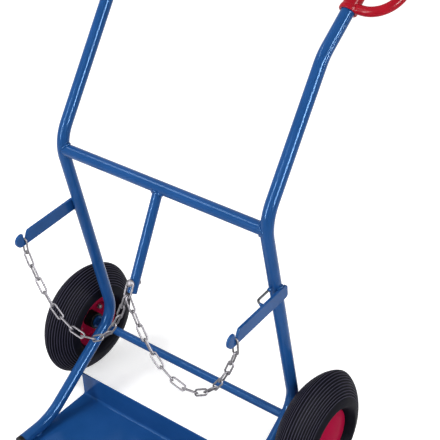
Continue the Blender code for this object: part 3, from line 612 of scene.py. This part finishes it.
# Electroplated zinc, a little weathered: grey with a faint violet cast and a satin gloss, duller where
# the barrel rubbed it
bright_zinc = surface("bright_zinc", ("5C5A5E", "727074"), 5.0, (0.46, 0.58), 0.7, 0.010, Metallic=1.0)

dome = arc((0.0, 0.0), 1.0, 90.0, 8.0, 14) * (HEAD_R, HEAD_HEIGHT) + (0.0, HEAD_UNDER)
thread_h = np.arange(NUT_NEAR - THREAD_PITCH / 2.0, BOLT_TAIL + THREAD_LEAD, -THREAD_PITCH / 2.0)
thread = np.stack([BOLT_R - THREAD_DEPTH * (np.arange(len(thread_h)) % 2), thread_h], -1)
bolt_profile = np.concatenate([dome, [(HEAD_R - HEAD_EDGE, HEAD_UNDER), (BOLT_R, HEAD_UNDER)], thread,
                               [(BOLT_R - THREAD_LEAD, BOLT_TAIL), (0.0, BOLT_TAIL)]])
bolt_profile[0, 0] = 0.0
bolt = piece("coach_bolt", [turned(bolt_profile, BOLT_CENTRE, BOLT_WAY, 40)], bright_zinc)
fit(bolt, "frame", "bright_zinc", "anchor_bolt")


def hexagon_nut(centre, axis, apothem, height, bore):
    """Six-sided ring with chamfered faces.

    The flats' radius is the apothem over the cosine of the angle from the nearest flat, held down to
    a circle at both faces, which leaves the usual chamfer.
    """
    around = np.arange(NUT_SIDES) * 2.0 * np.pi / NUT_SIDES
    flats = apothem / np.cos((around + np.pi / 6.0) % (np.pi / 3.0) - np.pi / 6.0)
    face = np.full(NUT_SIDES, apothem * 0.97)
    hole = np.full(NUT_SIDES, bore)
    chamfer = np.minimum(flats, apothem * 1.05)
    radii = np.stack([hole, face, chamfer, flats, flats, chamfer, face, hole])
    heights = np.array([0.0, 0.0, 0.04, 0.16, 0.84, 0.96, 1.0, 1.0]) * height
    spokes = turned([(1.0, 0.0)], np.zeros(3), axis, NUT_SIDES)[0]
    return centre + heights[:, None, None] * axis + radii[..., None] * spokes


nut_grid = hexagon_nut(BOLT_CENTRE + BOLT_WAY * NUT_NEAR, -BOLT_WAY, NUT_APOTHEM, NUT_HEIGHT,
                       BOLT_R + NUT_CLEAR)
nut = piece("hexagon_nut", [nut_grid], bright_zinc, along=True, sharp=25.0)
fit(nut, "frame", "bright_zinc", "anchor_nut")

# Retaining chain
# Long-link chain of four millimetre wire: each link is bent round, butt welded in the middle of one
# side and zinc plated. One end link hangs in each arm's notch, a wider link is held by the bolt, and
# fourteen links hang slack between them on each side.
WIRE_R = 0.002
LINK_HALF = 0.004
LINK_INNER = 0.034
LINK_PITCH = 0.0332
LINK_PLAY = 0.0008
BUTT_REACH = 0.0014
BUTT_SWELL = 0.16
BUTT_SPAN = 0.003
BUTT_EDGE = 0.004
LINKS = 14
ANCHOR_HALF = 0.0061
ANCHOR_TOP = BOLT_CENTRE + BOLT_WAY * (STRUT_R + GAP + WIRE_R) - STRUT_WAY * (BOLT_R + GAP)
HOOK_TOP = np.array((0.0, -0.188378, 0.513884))
DOWN = np.array((0.0, 0.0, -1.0))


def link(half_width, inner, centre, way, across):
    """Stadium of wire, two half circles joined by straight sides.

    A circle is carried round it, which swells by a sixth over the butt weld in the middle of one side.
    """
    radius = half_width + WIRE_R
    straight = inner / 2.0 - half_width
    right_end = arc((straight, 0.0), radius, -90.0, 90.0, 17)
    left_end = arc((-straight, 0.0), radius, 90.0, 270.0, 17)
    side_x = np.concatenate([np.linspace(straight, BUTT_EDGE, 3)[1:], np.linspace(BUTT_SPAN, -BUTT_SPAN, 9),
                             np.linspace(-BUTT_EDGE, -straight, 3)[:-1]])
    top = np.stack([side_x, np.full(len(side_x), radius)], -1)
    flat = np.concatenate([right_end, top, left_end, -top])
    weld = np.exp(-((flat[:, 0] / BUTT_REACH) ** 2)) * (flat[:, 1] > 0.9 * radius)
    line = np.concatenate([flat, np.zeros((len(flat), 1))], axis=1)
    grid = sweep(line, np.array((0.0, 0.0, 1.0)), ring(WIRE_R * (1.0 + BUTT_SWELL * weld), 14), True)
    normal = unit(np.cross(way, across))
    return centre + grid @ np.stack([way, np.cross(normal, way), normal])


def hanging(start, end):
    """Joints at equal steps along a hanging chain.

    Heights follow size * cosh(place / size), and the size is halved in on until the curve between the
    two ends has the chain's length.
    """
    length = LINKS * LINK_PITCH
    run = np.linalg.norm((end - start)[:2])
    rise = end[2] - start[2]
    slack = math.sqrt(length ** 2 - rise ** 2) / run
    low, high = 0.000001, 20.0
    for _ in range(80):
        middle = (low + high) / 2.0
        low, high = (middle, high) if math.sinh(middle) / middle < slack else (low, middle)
    size = run / (2.0 * low)
    lowest = run / 2.0 - size * math.atanh(rise / length)
    steps = size * math.sinh(-lowest / size) + np.linspace(0.0, length, LINKS + 1)
    place = size * np.arcsinh(steps / size)
    height = size * (np.cosh(place / size) - math.cosh(lowest / size))
    line = start + ((place + lowest) / run)[:, None] * (end - start)
    line[:, 2] = start[2] + height
    return line


middle = ANCHOR_TOP + STRUT_WAY * LINK_INNER / 2.0
anchor = piece("anchor_wire_link", [link(ANCHOR_HALF, LINK_INNER, middle, STRUT_WAY, ALONG_X)],
               bright_zinc, along=True)
fit(anchor, "frame", "bright_zinc", "anchor_link")
eye = ANCHOR_TOP + STRUT_WAY * (LINK_INNER - ANCHOR_HALF)
eye_r = ANCHOR_HALF - WIRE_R - LINK_PLAY - GAP
aside = WIRE_R + GAP
twist = np.pi / 2.0 * LINKS / (LINKS - 1)
for side, sign in SIDES:
    top = HOOK_TOP + sign * ARM_X * ALONG_X
    middle = top + DOWN * (WIRE_R + LINK_INNER / 2.0)
    hook_link = piece(side + "_hook_wire_link", [link(LINK_HALF, LINK_INNER, middle, DOWN, ALONG_X)],
                      bright_zinc, along=True)
    fit(hook_link, "frame", "bright_zinc", side + "_hook_link")
    first = top + DOWN * (WIRE_R + LINK_INNER - LINK_PLAY / 2.0)
    end_way = (STRUT_WAY * math.sqrt(eye_r ** 2 - aside ** 2) + sign * aside * ALONG_X) / eye_r
    end_wire = eye + end_way * eye_r
    end_wire[1] = (eye + end_way * (ANCHOR_HALF + WIRE_R))[1] - 2.0 * GAP
    level = unit((-sign * ARM_X, end_wire[1] - first[1], 0.0))
    across = np.cross(DOWN, level)
    way = -DOWN
    for _ in range(6):
        joints = hanging(first, end_wire - way * (WIRE_R + LINK_PLAY / 2.0))
        way = unit(joints[-1] - joints[-2])
    ways = unit(np.diff(joints, axis=0))
    for i in range(LINKS):
        width = across * math.cos(twist * i) + np.cross(ways[i], across) * math.sin(twist * i)
        name = "%s_chain_link_%02d" % (side, i + 1)
        middle = (joints[i] + joints[i + 1]) / 2.0
        one = piece(name + "_wire", [link(LINK_HALF, LINK_INNER, middle, ways[i], width)],
                    bright_zinc, along=True)
        fit(one, side + "_chain", "bright_zinc", name)

# Tyres
# Moulded black rubber with a rounded crown over an inner tube. Narrow ribs run round the tread from
# shoulder to shoulder, and the sidewalls are smooth with one raised ring above the rim.
WHEEL_X = 0.335
TYRE_R = 0.1424
TYRE_HALF = 0.0473
TYRE_WIDEST = 0.080
TYRE_WALL = 0.0065
CROWN_POWER = 1.5
BEAD_OUT = 0.0262
BEAD_R = 0.0523
LIP_CLEAR = 0.0661
RIB_PITCH = 0.0062
RIB_DEPTH = 0.0015
TREAD_REACH = 0.066
RIB_FADE = 0.004
GROOVE_FROM = 0.45
GROOVE_SLOPE = 0.4
CREST_POWER = 8
WALL_RING = 0.0006
WALL_RING_AT = 0.30
WALL_RING_SPREAD = 0.06
WALL_POWER = 0.95
BEAD_WIDTH = 0.0052
TYRE_STEPS = 420
TYRE_SIDES = 144

# Vulcanised rubber with carbon black: matt, slightly bluish, with a painted highlight in pale grey on the
# raised ribs
tyre_rubber = surface("tyre_rubber", ("090912", "10101B"), 18.0, (0.45, 0.58), 0.9, 0.02,
                      Specular_IOR_Level=0.03)
rubber = tyre_rubber.node_tree.nodes["Principled BSDF"].inputs["Base Color"]
# The crest share mixes a pale colour onto the rib tops: a painted highlight along each rib
on_crest = add_node(tyre_rubber, "ShaderNodeAttribute", {}, attribute_name="crest").outputs["Fac"]
painted_rib_highlight = add_node(tyre_rubber, "ShaderNodeMix",
                 {0: on_crest, 6: rubber.links[0].from_socket, 7: linear("4C4A5C")}, data_type="RGBA")
tyre_rubber.node_tree.links.new(painted_rib_highlight.outputs[2], rubber)


def crown(half_width, top, count):
    """Rounded tread section: cosine and sine of the turn, raised to 2 / power, give a fuller arch."""
    angle = np.linspace(0.0, np.pi, count)
    wide = np.sign(np.cos(angle)) * np.abs(np.cos(angle)) ** (2.0 / CROWN_POWER)
    return np.stack([TYRE_WIDEST + (top - TYRE_WIDEST) * np.sin(angle) ** (2.0 / CROWN_POWER),
                     half_width * wide], -1)


fine = crown(TYRE_HALF, TYRE_R, 4001)
fine_run = np.concatenate([[0.0], np.cumsum(np.linalg.norm(np.diff(fine, axis=0), axis=1))])
tread_run = np.linspace(0.0, fine_run[-1], TYRE_STEPS)
tread = np.stack([np.interp(tread_run, fine_run, fine[:, i]) for i in range(2)], -1)
tread_way = unit(np.gradient(tread, axis=0))
tread_in = np.stack([tread_way[:, 1], -tread_way[:, 0]], -1)
from_middle = np.abs(tread_run - fine_run[-1] / 2.0)
rib_wave = 0.5 + 0.5 * np.cos(2.0 * np.pi * from_middle / RIB_PITCH)
groove = np.clip((1.0 - rib_wave - GROOVE_FROM) / GROOVE_SLOPE, 0.0, 1.0)
groove = groove * groove * (3.0 - 2.0 * groove) * np.clip((TREAD_REACH - from_middle) / RIB_FADE, 0.0, 1.0)
tread = tread + RIB_DEPTH * groove[:, None] * tread_in
crest = rib_wave ** CREST_POWER * (from_middle < TREAD_REACH)
wall_share = np.linspace(0.0, 1.0, 25)[:-1]
wall_ring = WALL_RING * np.exp(-((wall_share - WALL_RING_AT) / WALL_RING_SPREAD) ** 2)
wall_bulge = np.sin(np.pi / 2.0 * wall_share) ** WALL_POWER
wall_out = BEAD_OUT + (TYRE_HALF - BEAD_OUT) * wall_bulge + wall_ring
wall = np.stack([LIP_CLEAR + (TYRE_WIDEST - LIP_CLEAR) * wall_share, wall_out], -1)
foot = np.concatenate([[(BEAD_R, BEAD_OUT)], wall])
hollow = crown(TYRE_HALF - TYRE_WALL, TYRE_R - TYRE_WALL, 41)
hollow_foot = np.array(((BEAD_R, BEAD_OUT - BEAD_WIDTH), (LIP_CLEAR, BEAD_OUT - BEAD_WIDTH)))
mirror = np.array((1.0, -1.0))
tyre_profile = np.concatenate([foot, tread, foot[::-1] * mirror, hollow_foot * mirror, hollow[::-1],
                               hollow_foot[::-1]])
crest = np.concatenate([np.zeros(len(foot)), crest, np.zeros(len(tyre_profile) - len(foot) - len(crest))])
for side, sign in SIDES:
    hub_at = AXLE_CENTRE + sign * WHEEL_X * ALONG_X
    tyre = piece(side + "_ribbed_tyre", [turned(tyre_profile, hub_at, sign * ALONG_X, TYRE_SIDES)],
                 tyre_rubber, along=True, crest=np.repeat(crest, TYRE_SIDES))
    fit(tyre, side + "_wheel", "black_tyre", side + "_tyre")
    inner_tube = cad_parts[side + "_inner_tube"].data
    inner_tube.materials.clear()
    inner_tube.materials.append(tyre_rubber)

# Rims
# Two pressed steel dishes stand back to back and are bolted through their webs, which lets the tyre be
# fitted without levers. Each has a bead seat and a rolled lip, and is enamelled crimson.
RIM_WEB = 0.00015
RIM_SHEET = 0.0025
RIM_BORE = 0.0203
RIM_SEAT = 0.052
RIM_LIP = 0.0655
RIM_HALF = 0.029
STUD_CIRCLE = 0.038
STUD_TURN = math.radians(18.0)
STUD_R = 0.003
STUD_TIP = 0.009
STUD_CHAMFER = 0.0006
WASHER_R = 0.0062
WASHER_SHEET = 0.0012
RIM_NUT = 0.005
RIM_NUT_HEIGHT = 0.0048
RIM_HEAD_HEIGHT = 0.004
NEAR = 0.0001

# Crimson enamel on pressed steel: deep red with a soft sheen and a faint flow over the press marks
red_enamel = surface("crimson_enamel", ("A8123C", "B01540"), 35.0, (0.20, 0.28), 2.0, 0.004,
                     Specular_IOR_Level=0.006)

web_face = RIM_WEB + RIM_SHEET
seat_inside = RIM_SEAT - RIM_SHEET
rim_profile = bent_line([(RIM_BORE + 0.008, web_face), (seat_inside, web_face), (seat_inside, RIM_HALF),
                         (RIM_LIP, RIM_HALF), (RIM_LIP, RIM_HALF - RIM_SHEET),
                         (RIM_SEAT, RIM_HALF - RIM_SHEET), (RIM_SEAT, RIM_WEB), (RIM_BORE, RIM_WEB),
                         (RIM_BORE, web_face), (RIM_BORE + 0.007, web_face)],
                        [0.004, 0.0045, 0.0011, 0.0011, 0.002, 0.006, 0.0004, 0.0004], 0.0006, 0.006)
stud_turn = STUD_TURN + np.arange(4) * np.pi / 2.0
stud_ways = np.stack([np.zeros(4), np.cos(stud_turn), np.sin(stud_turn)], -1)
stud_tip = STUD_TIP - web_face
stud_profile = [(WASHER_R, NEAR), (WASHER_R, WASHER_SHEET), (STUD_R, WASHER_SHEET), (STUD_R, stud_tip),
                (STUD_R - STUD_CHAMFER, stud_tip + STUD_CHAMFER), (NEAR, stud_tip + STUD_CHAMFER),
                (NEAR, NEAR)]
for side, sign in SIDES:
    hub_at = AXLE_CENTRE + sign * WHEEL_X * ALONG_X
    for half, out in (("outer", sign * ALONG_X), ("inner", -sign * ALONG_X)):
        rim = piece("%s_%s_dish" % (side, half), [turned(rim_profile, hub_at, out, 112)], red_enamel,
                    along=True)
        fit(rim, side + "_wheel", "red_paint", "%s_rim_%s" % (side, half))
    inward = -sign * ALONG_X
    nuts, washers = [], []
    for spoke in stud_ways:
        at = hub_at + spoke * STUD_CIRCLE
        nuts.append(hexagon_nut(at + inward * (web_face + WASHER_SHEET + NEAR), inward, RIM_NUT,
                                RIM_NUT_HEIGHT, STUD_R + NEAR))
        nuts.append(hexagon_nut(at - inward * (web_face + NEAR), -inward, RIM_NUT, RIM_HEAD_HEIGHT, NEAR))
        washers.append(turned(stud_profile, at + inward * web_face, inward, 24))
    bolts = piece(side + "_rim_bolts", nuts + washers, bright_zinc, along=True, sharp=25.0)
    fit(bolts, side + "_wheel", "bright_zinc")

# Hubs
# A moulded black bush that is pressed through both dishes and runs on the axle.
# Its ends are rounded off, inside and outside.
HUB_R = 0.020
HUB_HALF = 0.028
HUB_BORE = 0.0103
HUB_ROUND = 0.0018
HUB_MOUTH = 0.001
HUB_STEP = 0.001

hub_profile = bent_line([(HUB_R, 0.0), (HUB_R, HUB_HALF), (HUB_BORE, HUB_HALF), (HUB_BORE, -HUB_HALF),
                         (HUB_R, -HUB_HALF), (HUB_R, -HUB_STEP)],
                        [HUB_ROUND, HUB_MOUTH, HUB_MOUTH, HUB_ROUND], 0.0005, 0.008)
for side, sign in SIDES:
    hub = piece(side + "_bush", [turned(hub_profile, AXLE_CENTRE + sign * WHEEL_X * ALONG_X, ALONG_X, 64)],
                black_plastic, along=True)
    fit(hub, side + "_wheel", "black_plastic", side + "_hub")

# Axle clips
# Push-on spring caps of turned steel that keep the wheels on.
# They are tapped onto the ends of the axle, where the covers hide them.
CLIP_IN = 0.3633
CLIP_R = 0.017
CLIP_SHEET = 0.002

# Bare turned steel: grey and bright, with a fine grain left by the tool
turned_steel = surface("turned_steel", ("8E9094", "A6A8AC"), 4.0, (0.28, 0.40), 0.35, 0.012, Metallic=1.0)

clip_profile = bent_line([(HUB_BORE, 0.001), (HUB_BORE, CLIP_SHEET), (CLIP_R, CLIP_SHEET), (CLIP_R, 0.0),
                          (HUB_BORE, 0.0), (HUB_BORE, 0.0008)],
                         [0.0004, 0.0008, 0.0005, 0.0003], 0.0003, 0.01)
for side, sign in SIDES:
    clip = piece(side + "_spring_cap",
                 [turned(clip_profile, AXLE_CENTRE + sign * CLIP_IN * ALONG_X, sign * ALONG_X, 48)],
                 turned_steel, along=True)
    fit(clip, "frame", "turned_steel", side + "_axle_clip")

# Wheel covers
# Smooth domed discs of pressed steel in the crimson of the rims.
# Each is snapped onto the lip of the outer dish and hides the hub, the clip and the bolt heads.
COVER_R = 0.063
COVER_LOW = 0.0293
COVER_SHEET = 0.0015
COVER_DOME = 0.008
COVER_ROLL = np.array((0.0004, 0.0001))
COVER_DROP = (0.0002, 0.0005)
COVER_EDGE = 0.001
COVER_UNDERCUT = 0.0002

cover_r = np.concatenate([np.linspace(0.0, COVER_R - COVER_EDGE, 40), COVER_R - COVER_ROLL])
cover_top = COVER_LOW + COVER_SHEET + COVER_DOME * (1.0 - (cover_r / COVER_R) ** 2)
cover_top[-2:] -= COVER_DROP
cover_under = np.linspace(COVER_R - COVER_UNDERCUT, 0.0, 30)
under_h = COVER_LOW + COVER_DOME * (1.0 - (cover_under / COVER_R) ** 2)
cover_profile = np.concatenate([np.stack([cover_r, cover_top], -1), np.stack([cover_under, under_h], -1)])
for side, sign in SIDES:
    hub_at = AXLE_CENTRE + sign * WHEEL_X * ALONG_X
    cover = piece(side + "_cover_disc", [turned(cover_profile, hub_at, sign * ALONG_X, 128)], red_enamel)
    fit(cover, side + "_wheel", "red_paint", side + "_wheel_cover")

# Studio
# White paper floor in a white room, one broad light overhead and two soft boxes, in front to the left
# and on the right. The strips beside them show only in reflections and draw the thin lines along the
# tubes. The paper shines a little to the camera, which keeps it white around the object's shadow.
FLOOR_HALF = 12.0
FLOOR_Z = -0.0006
LIT_POINT = np.array((0.0, 0.0, 0.5))
SURROUND = 0.48
FLOOR_SHINE = 0.50
SOFT_BOXES = (
    ("overhead", (-58.0, 54.0), 3.2, (1.8, 0.6), 13.0, True),
    ("front_left", (-20.0, 14.0), 3.4, (0.70, 2.0), 4.0, True),
    ("right", (70.0, 21.0), 3.0, (0.90, 1.1), 7.0, True),
    ("front_left_strip", (-13.0, 19.0), 3.3, (0.40, 2.0), 62.0, False),
    ("right_strip", (72.0, 21.0), 2.9, (0.60, 1.1), 58.0, False),
    ("far_right_strip", (110.0, 10.0), 2.9, (0.45, 0.6), 50.0, False),
    ("bend_strip", (87.0, 26.0), 3.3, (0.80, 0.4), 60.0, False),
    ("handle_strip", (102.0, 35.0), 3.3, (0.80, 0.4), 70.0, False),
)

floor_mesh = bpy.data.meshes.new("paper_floor")
corners = np.array(((-1.0, -1.0, 0.0), (1.0, -1.0, 0.0), (1.0, 1.0, 0.0), (-1.0, 1.0, 0.0))) * FLOOR_HALF
corners[:, 2] = FLOOR_Z
floor_mesh.from_pydata(corners.tolist(), [], [(0, 1, 2, 3)])
floor = bpy.data.objects.new("paper_floor", floor_mesh)
bpy.context.scene.collection.objects.link(floor)
# Matt white paper
paper = bpy.data.materials.new("white_paper")
paper.use_nodes = True
paper_shader = paper.node_tree.nodes["Principled BSDF"]
paper_shader.inputs["Base Color"].default_value = linear("FAFAFA")
paper_shader.inputs["Roughness"].default_value = 0.9
paper_shader.inputs["Specular IOR Level"].default_value = 0.0
paper_shader.inputs["Emission Color"].default_value = linear("FFFFFF")


def looked_at(owner):
    """One for rays from the camera, a mirror or glass, and zero for those that light matt surfaces."""
    rays = add_node(owner, "ShaderNodeLightPath", {}).outputs
    either = add_node(owner, "ShaderNodeMath", {0: rays["Is Camera Ray"], 1: rays["Is Glossy Ray"]},
                      operation="MAXIMUM")
    return add_node(owner, "ShaderNodeMath", {0: either.outputs[0], 1: rays["Is Transmission Ray"]},
                    operation="MAXIMUM").outputs[0]


shine = add_node(paper, "ShaderNodeMath", {0: looked_at(paper), 1: FLOOR_SHINE}, operation="MULTIPLY")
paper.node_tree.links.new(shine.outputs[0], paper_shader.inputs["Emission Strength"])
floor_mesh.materials.append(paper)

world = bpy.data.worlds.new("pale_room")
bpy.context.scene.world = world
world.use_nodes = True
background = world.node_tree.nodes["Background"]
background.inputs["Color"].default_value = linear("FFFFFF")
white = add_node(world, "ShaderNodeMath", {0: looked_at(world), 1: 1.0 - SURROUND, 2: SURROUND},
                 operation="MULTIPLY_ADD")
world.node_tree.links.new(white.outputs[0], background.inputs["Strength"])


def toward(azimuth, elevation):
    """Direction to a place in the sky: azimuth from straight ahead to the right, elevation upwards."""
    return np.array((math.sin(azimuth) * math.cos(elevation), -math.cos(azimuth) * math.cos(elevation),
                     math.sin(elevation)))


def standing(place, *axes):
    """Matrix of an object at a place whose own axes lie along the three given ones."""
    turned_axes = Matrix([axis.tolist() for axis in axes]).transposed()
    return Matrix.Translation(place.tolist()) @ turned_axes.to_4x4()


for name, (azimuth, elevation), distance, size, radiance, lights_matt in SOFT_BOXES:
    azimuth = math.radians(azimuth)
    away = toward(azimuth, math.radians(elevation))
    lamp = bpy.data.lights.new(name, "AREA")
    lamp.shape = "RECTANGLE"
    lamp.size, lamp.size_y = size
    lamp.energy = radiance * math.pi * size[0] * size[1]
    box = bpy.data.objects.new(name, lamp)
    level_way = unit((math.cos(azimuth), math.sin(azimuth), 0.0))
    upright = np.cross(away, level_way)
    box.matrix_world = standing(LIT_POINT + away * distance, level_way, upright, away)
    box.visible_diffuse = lights_matt
    bpy.context.scene.collection.objects.link(box)

# Camera
# A long lens from the front right and above, as in the photograph. The place is given from the knee,
# in tube diameters.
KNEE = np.array(SIDE_CORNERS[3])
VIEW_AZIMUTH = math.radians(39.1331)
VIEW_ELEVATION = math.radians(34.0620)
VIEW_ROLL = math.radians(-2.2512)
VIEW_PLACE = (4.5511, -3.1306, 83.6358)
LENS_MM = 93.233
SENSOR_MM = 36.0
FARTHEST = 100.0

away = toward(VIEW_AZIMUTH, VIEW_ELEVATION)
level_way = np.array((math.cos(VIEW_AZIMUTH), math.sin(VIEW_AZIMUTH), 0.0))
upright = np.cross(away, level_way)
axes = np.stack([level_way, upright, away])
spot = KNEE + 2.0 * TUBE_R * (np.array(VIEW_PLACE) @ axes)
roll = np.array(((math.cos(VIEW_ROLL), math.sin(VIEW_ROLL), 0.0),
                 (-math.sin(VIEW_ROLL), math.cos(VIEW_ROLL), 0.0), (0.0, 0.0, 1.0)))
lens = bpy.data.cameras.new("photograph")
lens.lens = LENS_MM
lens.sensor_width = SENSOR_MM
lens.clip_end = FARTHEST
camera = bpy.data.objects.new("photograph", lens)
camera.matrix_world = standing(spot, *(roll @ axes))
bpy.context.scene.collection.objects.link(camera)
bpy.context.scene.camera = camera
bpy.context.scene.view_settings.view_transform = "Standard"
